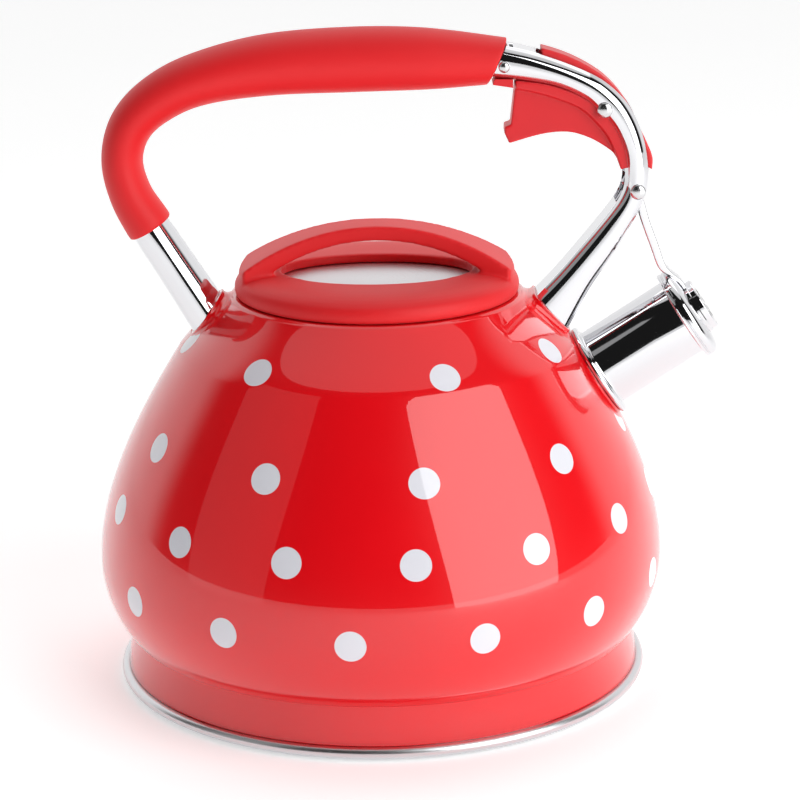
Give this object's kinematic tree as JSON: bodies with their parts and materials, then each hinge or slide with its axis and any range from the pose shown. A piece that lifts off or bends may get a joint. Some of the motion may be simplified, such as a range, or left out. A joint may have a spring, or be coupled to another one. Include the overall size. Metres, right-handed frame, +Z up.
{
  "type": "stovetop whistling kettle",
  "caption": "Enamelled stovetop whistling kettle with an over-arching grip, a trigger that swings the spout cap open, and a lift-off lid.",
  "frame": {"origin": "middle of the base, on the surface the kettle stands on", "axes": "+Z up; +X towards the spout; +Y to the kettle's left seen from behind the handle"},
  "size_m": [0.2423, 0.2208, 0.2544],
  "materials": {
    "red_enamel": "high-gloss enamel with small white dots",
    "steel": "satin",
    "polished_steel": "polished",
    "aluminium": "plain",
    "spring_steel": "drawn wire",
    "soft_red": "soft-touch matte",
    "trigger_red": "semi-gloss",
    "silicone": "translucent matte"
  },
  "bodies": {
    "kettle": {"body_shell": "red_enamel", "base_pan": "steel", "base_core": "aluminium", "base_cover": "steel", "spout_tube": "polished_steel", "spout_flange": "polished_steel", "rear_bracket": "red_enamel", "front_bracket": "red_enamel", "bracket_screws": "steel", "screw_seals": "silicone", "handle_tube": "polished_steel", "handle_grip": "soft_red", "arm_plug": "trigger_red", "front_arm": "polished_steel", "grip_rivet": "polished_steel", "trigger_pin": "polished_steel", "cap_pin": "polished_steel", "cap_spring": "spring_steel"},
    "trigger": {"trigger": "trigger_red"},
    "spout_cap": {"cap_lever": "polished_steel", "cap_shell": "polished_steel", "whistle_housing": "polished_steel", "whistle_disc_outer": "steel", "whistle_disc_inner": "steel", "cap_seal": "silicone"},
    "lid": {"lid_plate": "steel", "lid_cover": "soft_red", "lid_screws": "steel", "lid_gasket": "silicone"}
  },
  "joints": [
    {"name": "trigger_pull", "type": "hinge", "parent": "kettle", "child": "trigger", "pos_m": [0.0868, 0, 0.2231], "axis": [0, 1, 0], "range_deg": [0, 12], "stiffness_Nm_per_rad": 0.2, "springref_deg": -20.05},
    {"name": "cap_swing", "type": "hinge", "parent": "kettle", "child": "spout_cap", "pos_m": [0.0996, 0, 0.1915], "axis": [0, -1, 0], "range_deg": [0, 36], "stiffness_Nm_per_rad": 0.05, "springref_deg": -17.19, "deforming": ["cap_spring"]},
    {"name": "lid_lift", "type": "slide", "parent": "kettle", "child": "lid", "axis": [0, 0, 1], "range_m": [0, 0.04]}
  ],
  "couplings": [
    {"joint": "cap_swing", "follows": "trigger_pull", "ratio": 3}
  ]
}
